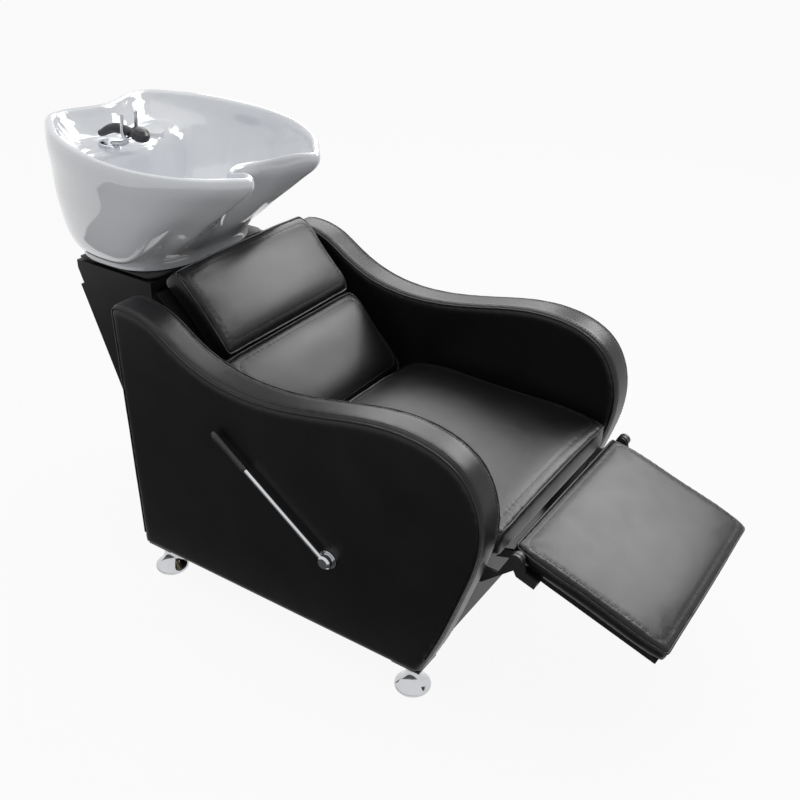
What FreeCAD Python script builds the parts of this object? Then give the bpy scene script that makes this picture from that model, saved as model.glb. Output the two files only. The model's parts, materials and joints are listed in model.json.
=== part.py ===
import FreeCAD, Part

# Salon shampoo station: a fixed upholstered chair with a lever-driven leg rest,
# and a tilting ceramic basin on a pedestal behind the back.
# Millimetres. X points to the sitter's left, Y to the rear, Z up.
# The origin is on the floor, on the centre plane of the chair.

import math
import os
import re

import Sketcher
from FreeCAD import Placement, Rotation, Vector

SIZES = {
    # feet and overall width
    "leg_height": 80, "overall_width": 650, "arm_width": 76,
    "foot_radius": 37, "foot_neck_radius": 15, "foot_top_radius": 22,
    "foot_front_y": -285, "foot_rear_y": 368, "foot_plate_side": 64,
    "foot_plate_thickness": 4, "glide_radius": 29, "glide_height": 5,
    # arm side view: tip, dip, front roll, nose and toe
    "arm_rear_y": 430, "arm_rear_lean": 20, "arm_tip_front": 344, "arm_tip_height": 657,
    "arm_dip_y": 110, "arm_dip_height": 560, "arm_roll_y": -280, "arm_roll_height": 606,
    "arm_nose_y": -430, "arm_nose_height": 466, "arm_toe_y": -318, "arm_edge_radius": 13,
    "board_inset": 26, "board_thickness": 36,
    # seat frame
    "rail_side": 40, "cleat_side": 30, "deck_thickness": 18, "deck_top": 352,
    "deck_front_y": -405, "deck_rear_y": 78, "deck_side_gap": 7, "cleat_front_y": -288,
    "apron_front_y": -309, "apron_thickness": 18, "apron_top": 226,
    "rear_rail_y": 300, "upper_rail_height": 400,
    # seat cushion
    "seat_side_gap": 9, "seat_front_y": -424, "seat_thickness": 78, "seat_back_gap": 5,
    "cushion_crown": 9, "cushion_draw": 5, "rest_crown": 3, "rest_draw": 1,
    # back, measured along and square to its board
    "back_angle": 47.5, "back_y": 213.9, "back_z": 472, "back_side_gap": 14,
    "back_board_low": -182, "back_board_high": 256, "back_board_thickness": 18,
    "lower_pad_side_gap": 26, "lower_pad_low": -152, "lower_pad_high": 66, "lower_pad_thickness": 61,
    "upper_pad_side_gap": 37, "upper_pad_low": 70, "upper_pad_high": 272, "upper_pad_thickness": 71,
    # leg rest, in a frame at its pivot
    "rest_pivot_y": -463, "rest_pivot_z": 375, "rest_slope": 18.3, "rest_side_gap": 10,
    "rest_rear": 18, "rest_front": -300, "rest_top": 16, "rest_pad_thickness": 38,
    "rest_board_thickness": 12, "rest_board_inset": 8,
    "plate_thickness": 6, "hinge_gap": 2, "hinge_eye_radius": 13, "pivot_radius": 7,
    "hinge_foot_length": 52, "hinge_foot_start": 16, "hinge_flange_width": 56, "flange_thickness": 4,
    "running_gap": 0.05, "seat_gap": 0.3,
    # hand lever and linkage
    "lever_y": -108, "lever_z": 268, "lever_lean": 54, "lever_length": 330, "lever_radius": 5,
    "grip_length": 96, "grip_radius": 7.5, "shaft_radius": 8, "bush_wall": 4,
    "hub_radius": 15, "hub_length": 16, "escutcheon_radius": 20, "escutcheon_thickness": 4,
    "drive_forward": 62, "drive_drop": 50, "crank_inset": 123, "crank_width": 24, "drive_eye_radius": 12,
    "drive_flange_width": 36, "drive_flange_start": 40, "hanger_inset": 99, "hanger_width": 52,
    "link_pin_radius": 5, "link_width": 18, "link_thickness": 6,
    # pedestal under the basin
    "pedestal_half_width": 190, "pedestal_wall": 18, "pedestal_top_z": 650, "pedestal_front_y": 450,
    "pedestal_rear_top_y": 672, "pedestal_rear_foot_y": 455, "pedestal_knee_z": 440,
    "pedestal_shoulder_z": 590, "access_thickness": 12, "access_margin": 8, "access_length": 548,
    "access_screw_radius": 6, "access_screw_height": 3,
    "drain_slot_half_width": 78, "drain_slot_rear_y": 560,
    # basin, in a frame at the rear of its rim plane
    "bowl_rear_y": 769, "bowl_rear_z": 944, "bowl_tilt": 5.1, "bowl_half_width": 260,
    "bowl_length": 541, "bowl_wide_at": 279, "hump_offset": 111, "rear_dip": 22,
    "horn_offset": 105, "notch_reach": 424, "notch_half_width": 57, "notch_dip": 34,
    "rim_width": 23, "rim_half_height": 9, "bowl_depth": 222, "bowl_wall": 13,
    "drain_at": 287, "drain_seat_radius": 47, "drain_hole_radius": 39,
    "tap_at": 109, "tap_offset": 64.6, "tap_hole_radius": 17.5, "tap_boss_radius": 25, "tap_boss_level": -59,
    "foot_half_width": 188, "foot_centre": 211, "foot_half_length": 145, "hollow_reach": 90, "hole_reach": 60,
    "dish_middle": 262, "dish_half_width": 205, "dish_rear": 150, "dish_front": 136,
    # basin cradle and tilt hinge
    "bumper_height": 3, "cradle_thickness": 4, "gasket_thickness": 2, "cradle_half_width": 182,
    "cradle_front_y": 452, "tilt_axis_y": 687, "tilt_axis_drop": 9, "knuckle_radius": 8, "tilt_pin_radius": 5,
    "knuckle_half_length": 60, "bracket_half_length": 100, "bracket_height": 38, "bracket_thickness": 5,
    # drain
    "flange_radius": 45, "flange_height": 3, "neck_wall": 4, "neck_depth": 40, "tail_radius": 20,
    "tail_length": 62, "tail_wall": 3, "nut_height": 12, "nut_radius": 52, "strainer_radius": 33,
    # hand shower and its fork
    "fork_base_radius": 25, "fork_base_height": 7, "fork_stem_radius": 8, "fork_inner_radius": 16,
    "fork_bar_radius": 4, "fork_prong": 36, "saddle_forward": 60, "saddle_height": 50, "saddle_gap": 1.1,
    "handle_length": 110, "handset_radius": 11, "head_radius": 20, "head_height": 20,
    "cap_radius": 25, "cap_height": 5,
    # mixing valve inside the pedestal
    "valve_length": 110, "valve_radius": 22, "valve_y": 470, "valve_z": 330,
    "inlet_radius": 10.45, "inlet_length": 22, "inlet_spacing": 70,
    "inlet_collar_radius": 14, "inlet_collar_height": 6, "relief_length": 2, "relief_depth": 1,
}

doc = FreeCAD.newDocument("ShampooStation")
sheet = doc.addObject("Spreadsheet::Sheet", "Sizes")
for row, (alias, value) in enumerate(SIZES.items(), 1):
    sheet.set(f"A{row}", alias)
    sheet.set(f"B{row}", str(value))
    sheet.setAlias(f"B{row}", alias)
doc.recompute()

S = sheet
NODES = {}
X_AXIS = Vector(1, 0, 0)
Z_AXIS = Vector(0, 0, 1)
SIDES = {"right": -1, "left": 1}

arm_inner = S.overall_width / 2 - S.arm_width
arm_middle = S.overall_width / 2 - S.arm_width / 2
seat_width = 2 * (arm_inner - S.seat_side_gap)
back_board_width = 2 * (arm_inner - S.back_side_gap)
lower_pad_width = 2 * (arm_inner - S.lower_pad_side_gap)
upper_pad_width = 2 * (arm_inner - S.upper_pad_side_gap)


# Helpers

def bound(text):
    """Prefix each size name in an expression with the sheet's name."""
    return re.sub(r"[a-z]\w+", lambda word: ("Sizes." if word.group() in SIZES else "") + word.group(), text)


def bind(item, **texts):
    for name, text in texts.items():
        item.setExpression(name.replace("_at_", "Placement.Base."), bound(text))


def new(kind, name):
    item = doc.addObject(kind, name)
    item.Label = name
    return item


def node(item, name):
    """Hand a finished object in as a sub-part under its own name."""
    item.Label = name
    NODES[name] = item
    return item


def box(name, low, extent):
    """A box from its low corner and its extent, both as expressions of sizes."""
    item = new("Part::Box", name)
    bind(item, Length=extent[0], Width=extent[1], Height=extent[2])
    bind(item, _at_x=low[0], _at_y=low[1], _at_z=low[2])
    return item


def rod(name, start, radius, length, direction=Z_AXIS):
    """A cylinder from a start point along a direction, its radius and length bound to sizes."""
    item = new("Part::Cylinder", name)
    bind(item, Radius=radius, Height=length)
    item.Placement = Placement(start, Rotation(Z_AXIS, direction))
    return item


def feature(name, shape, place=None):
    item = new("Part::Feature", name)
    item.Shape = shape
    if place is not None:
        item.Placement = place
    return item


def cut(name, base, *tools):
    item = new("Part::Cut", name)
    item.Base = base
    item.Tool = tools[0] if len(tools) == 1 else fuse(name + "_tools", *tools)
    return item


def fuse(name, *pieces):
    item = new("Part::MultiFuse", name)
    item.Shapes = list(pieces)
    return item


def group(name, *pieces):
    item = new("Part::Compound", name)
    item.Links = list(pieces)
    return item


def mirrored(name, source):
    item = new("Part::Mirroring", name)
    item.Source = source
    item.Normal = X_AXIS
    return item


def sketch_in(body, role, edges):
    plane = next(item for item in body.Origin.OriginFeatures if item.Role == role)
    sketch = body.newObject("Sketcher::SketchObject", body.Label + "_sketch")
    sketch.AttachmentSupport = [(plane, "")]
    sketch.MapMode = "FlatFace"
    for edge in edges:
        sketch.addGeometry(edge, False)
    return sketch


def padded(name, role, edges, length):
    """A body padded from one closed sketch."""
    body = new("PartDesign::Body", name)
    pad = body.newObject("PartDesign::Pad", name + "_pad")
    pad.Profile = sketch_in(body, role, edges)
    bind(pad, Length=length)
    return body


def revolved(name, points):
    """A body turned about its own Z axis from a closed outline of radius and height."""
    body = new("PartDesign::Body", name)
    sketch = sketch_in(body, "XZ_Plane", polygon(points))
    turn = body.newObject("PartDesign::Revolution", name + "_turn")
    turn.Profile = sketch
    turn.ReferenceAxis = (sketch, ["V_Axis"])
    turn.Angle = 360
    return body


def polygon(points):
    corners = [Vector(a, b, 0) for a, b in points]
    return [Part.LineSegment(a, b) for a, b in zip(corners, corners[1:] + corners[:1])]


def spline(points):
    curve = Part.BSplineCurve()
    curve.interpolate([Vector(a, b, 0) for a, b in points])
    return curve


def ring_wire(points, parameters=None):
    """A closed smooth wire through 3-D points."""
    curve = Part.BSplineCurve()
    if parameters is None:
        curve.interpolate(Points=points, PeriodicFlag=True)
    else:
        curve.interpolate(Points=points, PeriodicFlag=True, Parameters=parameters)
    return Part.Wire(curve.toShape())


def mix(a, b, share):
    return a + (b - a) * share


# Arms: an upholstered sleeve over a board

def arm_outline(inset):
    """Side view of an arm as sketch edges, drawn in by an inset except along its open bottom."""
    tip_z = S.arm_tip_height - inset
    dip_z = S.arm_dip_height - inset
    roll_z = S.arm_roll_height - inset
    nose_y = S.arm_nose_y + inset
    toe_y = S.arm_toe_y + inset
    rear_y = S.arm_rear_y - inset
    tip_y = S.arm_tip_front - inset / 3
    curve = [(rear_y, tip_z), (mix(rear_y, tip_y, 0.7), tip_z)]
    for share in (0.09, 0.3, 0.63, 1):
        drop = (tip_z - dip_z) * math.sin(share * math.pi / 2)
        curve.append((mix(tip_y, S.arm_dip_y, share), tip_z - drop))
    curve.append((mix(S.arm_dip_y, S.arm_roll_y, 0.5), mix(dip_z, roll_z, 0.46)))
    for turn in (0, 45, 90):
        angle = math.radians(turn)
        curve.append((mix(S.arm_roll_y, nose_y, math.sin(angle)),
                      mix(S.arm_nose_height, roll_z, math.cos(angle))))
    for share in (0.39, 0.77, 1):
        curve.append((mix(nose_y, toe_y, share ** 1.55), mix(S.arm_nose_height, S.leg_height, share)))
    corners = [curve[-1], (rear_y - S.arm_rear_lean, S.leg_height), curve[0]]
    points = [Vector(a, b, 0) for a, b in corners]
    return [spline(curve)] + [Part.LineSegment(a, b) for a, b in zip(points, points[1:])]


def side_fillet(body, radius):
    """Round every edge of a padded body that is above its open bottom."""
    doc.recompute()
    pad = body.Tip
    high = [number for number, edge in enumerate(pad.Shape.Edges, 1) if edge.BoundBox.ZMax > S.leg_height + 1]
    fillet = body.newObject("PartDesign::Fillet", body.Label + "_round")
    fillet.Base = (pad, [f"Edge{number}" for number in high])
    bind(fillet, Radius=radius)
    body.Tip = fillet
    return body


lever_bore = rod("lever_bore", Vector(-S.overall_width / 2, S.lever_y, S.lever_z),
                 "shaft_radius + bush_wall", "arm_width", X_AXIS)

board_right = padded("arm_board_blank", "YZ_Plane", arm_outline(S.board_inset), "board_thickness")
bind(board_right, _at_x="-overall_width / 2 + arm_width / 2 - board_thickness / 2")
arm_block = side_fillet(padded("arm_block", "YZ_Plane", arm_outline(0), "arm_width"), "arm_edge_radius")
bind(arm_block, _at_x="-overall_width / 2")

board_left = node(mirrored("arm_left_board", board_right), "arm_left_board")
node(cut("arm_right_board", board_right, lever_bore), "arm_right_board")
arm_sleeve = cut("arm_sleeve", arm_block, board_right)
node(mirrored("arm_left_pad", arm_sleeve), "arm_left_pad")
node(cut("arm_right_pad", arm_sleeve, lever_bore), "arm_right_pad")


# Feet: chrome bells on steel plates

def foot(name, x, y):
    waist = S.leg_height * 0.55
    top = S.leg_height - S.foot_plate_thickness
    body = revolved(name + "_bell", [
        (0, S.glide_height), (S.foot_radius - 3, S.glide_height), (S.foot_radius, S.glide_height + 3),
        (S.foot_radius, S.glide_height + 8), (S.foot_radius * 0.8, S.glide_height + 15),
        (S.foot_neck_radius + 3, waist - 8), (S.foot_neck_radius, waist + 4),
        (S.foot_top_radius, top - 6), (S.foot_top_radius, top), (0, top)])
    body.Placement = Placement(Vector(x, y, 0), Rotation())
    node(body, name)


glides = []
plates = []
for side, sign in SIDES.items():
    for end, y in (("front", S.foot_front_y), ("rear", S.foot_rear_y)):
        foot(f"foot_{end}_{side}", sign * arm_middle, y)
        centre = Vector(sign * arm_middle, y, 0)
        glides.append(rod(f"glide_{end}_{side}", centre, "glide_radius", "glide_height"))
        plate = new("Part::Box", f"foot_plate_{end}_{side}")
        bind(plate, Length="foot_plate_side", Width="foot_plate_side", Height="foot_plate_thickness")
        half = S.foot_plate_side / 2
        plate.Placement.Base = centre + Vector(-half, -half, S.leg_height - S.foot_plate_thickness)
        plates.append(plate)
node(group("glide_set", *glides), "foot_glides")
node(group("foot_plate_set", *plates), "foot_plates")


# Seat frame: rails, cleats, deck and apron between the arms

span = "overall_width - 2 * arm_width"
inner = "overall_width / 2 - arm_width"
node(box("front_cross_rail", (f"-({inner})", "apron_front_y + apron_thickness", "leg_height + 4"),
         (span, "rail_side", "rail_side")), "front_cross_rail")
node(box("lower_cross_rail", (f"-({inner})", "rear_rail_y", "leg_height + 4"),
         (span, "rail_side", "rail_side")), "lower_cross_rail")
node(box("upper_cross_rail", (f"-({inner})", "rear_rail_y", "upper_rail_height"),
         (span, "rail_side", "rail_side")), "upper_cross_rail")
node(box("front_apron", (f"-({inner})", "apron_front_y", "leg_height"),
         (span, "apron_thickness", "apron_top - leg_height")), "front_apron")
cleat = box("cleat_right", (f"-({inner})", "cleat_front_y", "deck_top - deck_thickness - cleat_side"),
            ("cleat_side", "deck_rear_y - cleat_front_y", "cleat_side"))
node(group("cleat_pair", cleat, mirrored("cleat_left", cleat)), "seat_cleats")
node(box("seat_deck", (f"-({inner}) + deck_side_gap", "deck_front_y", "deck_top - deck_thickness"),
         (f"{span} - 2 * deck_side_gap", "deck_rear_y - deck_front_y", "deck_thickness")), "seat_deck")


# Cushions: crowned tops, sides drawn in between the corners

def cushion_section(half_width, edge_height, crown, place):
    """One closed section: flat bottom, bulged sides and a crowned top; place maps (x, z) to a point."""
    tuck = 0.12 * edge_height
    low_right = place(half_width - tuck, 0)
    high_right = place(half_width - tuck, edge_height)
    low_left = place(tuck - half_width, 0)
    high_left = place(tuck - half_width, edge_height)
    side_right = Part.Arc(low_right, place(half_width, edge_height / 2), high_right)
    top = Part.Arc(high_right, place(0, edge_height + crown), high_left)
    side_left = Part.Arc(high_left, place(-half_width, edge_height / 2), low_left)
    bottom = Part.LineSegment(low_left, low_right)
    return Part.Wire([curve.toShape() for curve in (side_right, top, side_left, bottom)])


def cushion(width, thickness, low, high, crown, draw, front_lean=0.0, rear_lean=0.0):
    """A pad along Y from low to high, on the plane z = 0. The leans slope its two ends."""
    sections = []
    for share in (0, 0.1, 0.5, 0.9, 1):
        bow = 1 - (2 * share - 1) ** 2
        end = share in (0, 1)
        half_width = width / 2 - draw * bow - (6 if end else 0)
        edge_height = thickness - 2 * crown + crown * bow - (crown if end else 0)
        lean = mix(front_lean, rear_lean, share)
        start = mix(low, high, share)
        place = lambda x, z, start=start, lean=lean: Vector(x, start + lean * z, z)
        sections.append(cushion_section(half_width, edge_height, crown, place))
    return Part.makeLoft(sections, True, False)


back_turn = Rotation(X_AXIS, S.back_angle)
back_place = Placement(Vector(0, S.back_y, S.back_z), back_turn)
back_slope = 1 / math.tan(math.radians(S.back_angle))
back_sine = math.sin(math.radians(S.back_angle))
pad_front_y = S.back_y - (S.lower_pad_thickness + S.seat_back_gap) / back_sine
seat_rear_y = pad_front_y + (S.deck_top - S.back_z) * back_slope

node(feature("seat_cushion", cushion(seat_width, S.seat_thickness, S.seat_front_y + 4, seat_rear_y,
                                     S.cushion_crown, S.cushion_draw, -0.05, back_slope),
             Placement(Vector(0, 0, S.deck_top), Rotation())), "seat_cushion")
node(feature("back_cushion_lower", cushion(lower_pad_width, S.lower_pad_thickness, S.lower_pad_low,
                                           S.lower_pad_high, S.cushion_crown, S.cushion_draw),
             back_place), "back_cushion_lower")
node(feature("back_cushion_upper", cushion(upper_pad_width, S.upper_pad_thickness, S.upper_pad_low,
                                           S.upper_pad_high, S.cushion_crown, S.cushion_draw),
             back_place), "back_cushion_upper")


def back_box(name, x_low, low, z_low, extent):
    """A box in the back board's frame."""
    item = new("Part::Box", name)
    bind(item, Length=extent[0], Width=extent[1], Height=extent[2])
    item.Placement = back_place.multiply(Placement(Vector(x_low, low, z_low), Rotation()))
    return item


node(back_box("back_board", -back_board_width / 2, S.back_board_low, -S.back_board_thickness,
              (f"{span} - 2 * back_side_gap", "back_board_high - back_board_low", "back_board_thickness")),
     "back_board")
batten = back_box("batten_right", -arm_inner, S.back_board_low + 40, -S.back_board_thickness - S.cleat_side,
                  ("cleat_side", "back_board_high - back_board_low - 60", "cleat_side"))
node(group("batten_pair", batten, mirrored("batten_left", batten)), "back_battens")


# Leg rest: pad on a board, carried by a hinge plate at each side and driven at a lug under the board

rest_place = Placement(Vector(0, S.rest_pivot_y, S.rest_pivot_z), Rotation(X_AXIS, S.rest_slope))
rest_board_top = S.rest_top - S.rest_pad_thickness
rest_board_low = rest_board_top - S.rest_board_thickness
hinge_outer = arm_inner - S.plate_thickness - S.hinge_gap
hinge_inner = hinge_outer - S.plate_thickness
rest_width = 2 * (hinge_inner - S.rest_side_gap)
crank_vector = rest_place.Rotation.multVec(Vector(0, -S.drive_forward, -S.drive_drop))
rest_pivot = Vector(0, S.rest_pivot_y, S.rest_pivot_z)
lever_centre = Vector(0, S.lever_y, S.lever_z)
drive_point = rest_pivot + crank_vector
crank_point = lever_centre + crank_vector


def rest_local(offset):
    return rest_place.multiply(Placement(offset, Rotation()))


def eye(name, x, centre, radius):
    """A short cylinder across one plate thickness, centred on a pin."""
    return rod(name, Vector(x, centre.y, centre.z), radius, "plate_thickness", X_AXIS)


node(feature("leg_rest_pad", cushion(rest_width, S.rest_pad_thickness, S.rest_front, S.rest_rear,
                                     S.rest_crown, S.rest_draw),
             rest_local(Vector(0, 0, rest_board_top))), "leg_rest_pad")
rest_board = new("Part::Box", "leg_rest_board")
rest_board.Length = rest_width - 2 * S.rest_board_inset
bind(rest_board, Height="rest_board_thickness", Width="rest_rear - rest_front - 2 * rest_board_inset")
rest_board.Placement = rest_local(Vector(S.rest_board_inset - rest_width / 2,
                                         S.rest_front + S.rest_board_inset, rest_board_low))
node(rest_board, "leg_rest_board")


def hinge_plate_outline():
    """Side plate in the leg rest's frame: an eye round the pivot and a straight foot under the board."""
    foot_low = rest_board_low - S.flange_thickness
    radius = S.hinge_eye_radius
    top = Part.Arc(Vector(radius, 0, 0), Vector(0, radius, 0), Vector(-radius, 0, 0))
    corners = [(-radius, 0), (-radius * 2, rest_board_top), (-S.hinge_foot_length, rest_board_top),
               (-S.hinge_foot_length, foot_low), (-radius, foot_low), (radius, -radius), (radius, 0)]
    points = [Vector(a, b, 0) for a, b in corners]
    return [top] + [Part.LineSegment(a, b) for a, b in zip(points, points[1:])]


hinge_plate = padded("hinge_plate", "YZ_Plane", hinge_plate_outline(), "plate_thickness")
hinge_plate.Placement = rest_local(Vector(-hinge_outer, 0, 0))
hinge_flange = new("Part::Box", "hinge_flange")
bind(hinge_flange, Length="hinge_flange_width", Width="hinge_foot_length - hinge_foot_start",
     Height="flange_thickness")
hinge_flange.Placement = rest_local(Vector(-hinge_outer, -S.hinge_foot_length,
                                           rest_board_low - S.flange_thickness))
hinge_blank = fuse("hinge_blank", hinge_plate, hinge_flange)
pivot_bore = eye("pivot_bore", -hinge_outer, rest_pivot, "pivot_radius + running_gap")
hinge_right = node(cut("leg_hinge_right", hinge_blank, pivot_bore), "leg_hinge_right")
node(mirrored("leg_hinge_left", hinge_right), "leg_hinge_left")


crank_x = S.crank_inset - arm_inner
link_x = crank_x + S.plate_thickness + S.hinge_gap


def link_pin(name, centre):
    """A headed pin from a crank plate's outer face through the push rod's eye."""
    shank = rod(name + "_shank", Vector(crank_x, centre.y, centre.z), "link_pin_radius",
                "plate_thickness + hinge_gap + link_thickness + seat_gap", X_AXIS)
    head_x = link_x + S.link_thickness + S.seat_gap
    head = rod(name + "_head", Vector(head_x, centre.y, centre.z), "link_pin_radius + 3", "3", X_AXIS)
    return fuse(name, shank, head)


def drive_lug_outline():
    """Lug in the leg rest's frame: straight under the flange, round about the drive pin."""
    top = rest_board_low - S.flange_thickness
    radius = S.drive_eye_radius
    y, z = -S.drive_forward, -S.drive_drop
    under = Part.Arc(Vector(y - radius, z, 0), Vector(y, z - radius, 0), Vector(y + radius, z, 0))
    corners = [(y + radius, z), (y + radius, top), (y - radius, top), (y - radius, z)]
    points = [Vector(a, b, 0) for a, b in corners]
    return [under] + [Part.LineSegment(a, b) for a, b in zip(points, points[1:])]


drive_lug = padded("drive_lug", "YZ_Plane", drive_lug_outline(), "plate_thickness")
drive_lug.Placement = rest_local(Vector(crank_x, 0, 0))
drive_flange = new("Part::Box", "drive_flange")
bind(drive_flange, Length="drive_flange_width", Height="flange_thickness",
     Width="2 * (drive_forward - drive_flange_start)")
drive_flange.Placement = rest_local(Vector(crank_x + S.plate_thickness - S.drive_flange_width,
                                           S.drive_flange_start - 2 * S.drive_forward,
                                           rest_board_low - S.flange_thickness))
drive_blank = fuse("drive_blank", drive_lug, drive_flange)
drive_bore = eye("drive_bore", crank_x, drive_point, "link_pin_radius + running_gap")
node(cut("leg_drive_bracket", drive_blank, drive_bore), "leg_drive_bracket")
node(link_pin("leg_drive_pin", drive_point), "leg_drive_pin")

hinge_screws = []
for sign in SIDES.values():
    for inboard in (34, 48):
        middle = -(S.hinge_foot_length + S.hinge_foot_start) / 2
        start = rest_place.multVec(Vector(sign * (hinge_outer - inboard), middle,
                                          rest_board_low - S.flange_thickness))
        down = rest_place.Rotation.multVec(Vector(0, 0, -1))
        hinge_screws.append(rod(f"hinge_screw_{sign}_{inboard}", start, "link_pin_radius", "2.5", down))
node(group("hinge_screw_set", *hinge_screws), "leg_hinge_screws")


def bracket_outline():
    """Fixed plate on the arm's inner face, reaching forward to the leg rest's pivot."""
    radius = S.hinge_eye_radius
    y, z = S.rest_pivot_y, S.rest_pivot_z
    top = S.deck_top - S.deck_thickness
    nose = Part.Arc(Vector(y + radius, z, 0), Vector(y, z + radius, 0), Vector(y - radius, z, 0))
    corners = [(y - radius, z), (y - radius * 0.6, z - radius), (S.deck_front_y + 6, top - 36),
               (S.cleat_front_y - 4, top - 36), (S.cleat_front_y - 4, top), (S.seat_front_y - 6, top),
               (y + radius, z)]
    points = [Vector(a, b, 0) for a, b in corners]
    return [nose] + [Part.LineSegment(a, b) for a, b in zip(points, points[1:])]


bracket_blank = padded("bracket_blank", "YZ_Plane", bracket_outline(), "plate_thickness")
bind(bracket_blank, _at_x=f"-({inner})")
bracket_bore = eye("bracket_bore", -arm_inner, rest_pivot, "pivot_radius")
bracket_right = node(cut("leg_bracket_right", bracket_blank, bracket_bore), "leg_bracket_right")
node(mirrored("leg_bracket_left", bracket_right), "leg_bracket_left")
pivot_shank = rod("pivot_shank", Vector(-arm_inner, S.rest_pivot_y, S.rest_pivot_z), "pivot_radius",
                  "2 * plate_thickness + hinge_gap + seat_gap", X_AXIS)
pivot_head = rod("pivot_head", Vector(-hinge_inner + S.seat_gap, S.rest_pivot_y, S.rest_pivot_z),
                 "pivot_radius + 4", "4", X_AXIS)
pivot_collar = rod("pivot_collar", Vector(-arm_inner + S.plate_thickness, S.rest_pivot_y, S.rest_pivot_z),
                   "pivot_radius + 4", "hinge_gap - seat_gap", X_AXIS)
pivot_pin = fuse("pivot_pin", pivot_shank, pivot_head, pivot_collar)
node(group("pivot_pin_pair", pivot_pin, mirrored("pivot_pin_left", pivot_pin)), "leg_pivot_pins")


# Hand lever: shaft through the right arm and a hanger, crank inside, push rod to the leg rest

arm_outer = S.overall_width / 2
bush_tube = rod("bush_tube", Vector(-arm_outer, S.lever_y, S.lever_z), "shaft_radius + bush_wall",
                "arm_width", X_AXIS)
bush_bore = rod("bush_bore", Vector(-arm_outer, S.lever_y, S.lever_z), "shaft_radius + running_gap",
                "arm_width", X_AXIS)
node(cut("lever_bush", bush_tube, bush_bore), "lever_bush")
plate_x = -arm_outer - S.escutcheon_thickness
plate_disc = rod("escutcheon_disc", Vector(plate_x, S.lever_y, S.lever_z), "escutcheon_radius",
                 "escutcheon_thickness", X_AXIS)
plate_bore = rod("escutcheon_bore", Vector(plate_x, S.lever_y, S.lever_z), "shaft_radius + running_gap",
                 "escutcheon_thickness", X_AXIS)
node(cut("lever_escutcheon", plate_disc, plate_bore), "lever_escutcheon")

hub_x = plate_x - S.seat_gap - S.hub_length
node(rod("lever_shaft", Vector(hub_x, S.lever_y, S.lever_z), "shaft_radius",
         "hub_length + seat_gap + escutcheon_thickness + arm_width + crank_inset + plate_thickness",
         X_AXIS), "lever_shaft")

deck_low = "deck_top - deck_thickness"
hanger_x = f"hanger_inset - ({inner})"
hanger_front = "lever_y - hanger_width / 2"
hanger_plate = box("hanger_plate", (hanger_x, hanger_front, "lever_z - hanger_width / 2"),
                   ("plate_thickness", "hanger_width", f"{deck_low} - lever_z + hanger_width / 2"))
hanger_flange = box("hanger_flange", (f"{hanger_x} - drive_flange_width", hanger_front,
                                      f"{deck_low} - flange_thickness"),
                    ("drive_flange_width", "hanger_width", "flange_thickness"))
hanger_bore = eye("hanger_bore", S.hanger_inset - arm_inner, lever_centre, "shaft_radius + running_gap")
node(cut("lever_hanger", fuse("hanger_blank", hanger_plate, hanger_flange), hanger_bore), "lever_hanger")

hub_body = revolved("hub_body", [
    (S.shaft_radius, 0), (S.hub_radius - 4, 0), (S.hub_radius, 4), (S.hub_radius, S.hub_length),
    (S.shaft_radius, S.hub_length)])
hub_body.Placement = Placement(Vector(hub_x, S.lever_y, S.lever_z), Rotation(Z_AXIS, X_AXIS))
lean = math.radians(S.lever_lean)
lever_way = Vector(0, math.sin(lean), math.cos(lean))
rod_axis = Vector(hub_x + S.hub_length / 2, S.lever_y, S.lever_z)
rod_start = rod_axis + lever_way * (S.shaft_radius + S.seat_gap)
lever_bar = rod("lever_bar", rod_start, "lever_radius", "lever_length - shaft_radius - seat_gap", lever_way)
node(cut("lever_hub", hub_body, lever_bar), "lever_hub")
grip_start = rod_axis + lever_way * (S.lever_length - S.grip_length)
grip_body = revolved("grip_body", [
    (0, 0), (S.grip_radius - 1.5, 0), (S.grip_radius, 4), (S.grip_radius - 1, S.grip_length / 2),
    (S.grip_radius + 1, S.grip_length - 8), (S.grip_radius - 2, S.grip_length + 2), (0, S.grip_length + 5)])
grip_body.Placement = Placement(grip_start, Rotation(Z_AXIS, lever_way))
node(cut("lever_grip", grip_body, lever_bar), "lever_grip")
node(lever_bar, "lever_rod")


def link_outline(start, end, half_width):
    """A flat bar with round ends about two pins, in the YZ plane."""
    along = (end - start).normalize()
    across = Vector(0, -along.z, along.y) * half_width
    tip = along * half_width
    flat = lambda point: Vector(point.y, point.z, 0)
    return [
        Part.LineSegment(flat(start + across), flat(end + across)),
        Part.Arc(flat(end + across), flat(end + tip), flat(end - across)),
        Part.LineSegment(flat(end - across), flat(start - across)),
        Part.Arc(flat(start - across), flat(start - tip), flat(start + across)),
    ]


crank_blank = padded("crank_blank", "YZ_Plane", link_outline(lever_centre, crank_point, S.crank_width / 2),
                     "plate_thickness")
crank_blank.Placement.Base = Vector(crank_x, 0, 0)
crank_shaft_bore = eye("crank_shaft_bore", crank_x, lever_centre, "shaft_radius")
crank_pin_bore = eye("crank_pin_bore", crank_x, crank_point, "link_pin_radius")
node(cut("lever_crank", crank_blank, crank_shaft_bore, crank_pin_bore), "lever_crank")
node(link_pin("crank_pin", crank_point), "crank_pin")

link_blank = padded("link_blank", "YZ_Plane", link_outline(drive_point, crank_point, S.link_width / 2),
                    "link_thickness")
link_blank.Placement.Base = Vector(link_x, 0, 0)
front_eye = eye("front_eye", link_x, drive_point, "link_pin_radius + running_gap")
rear_eye = eye("rear_eye", link_x, crank_point, "link_pin_radius + running_gap")
node(cut("push_rod", link_blank, front_eye, rear_eye), "push_rod")


# Pedestal: two side panels, a top and a sloping access panel

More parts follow.
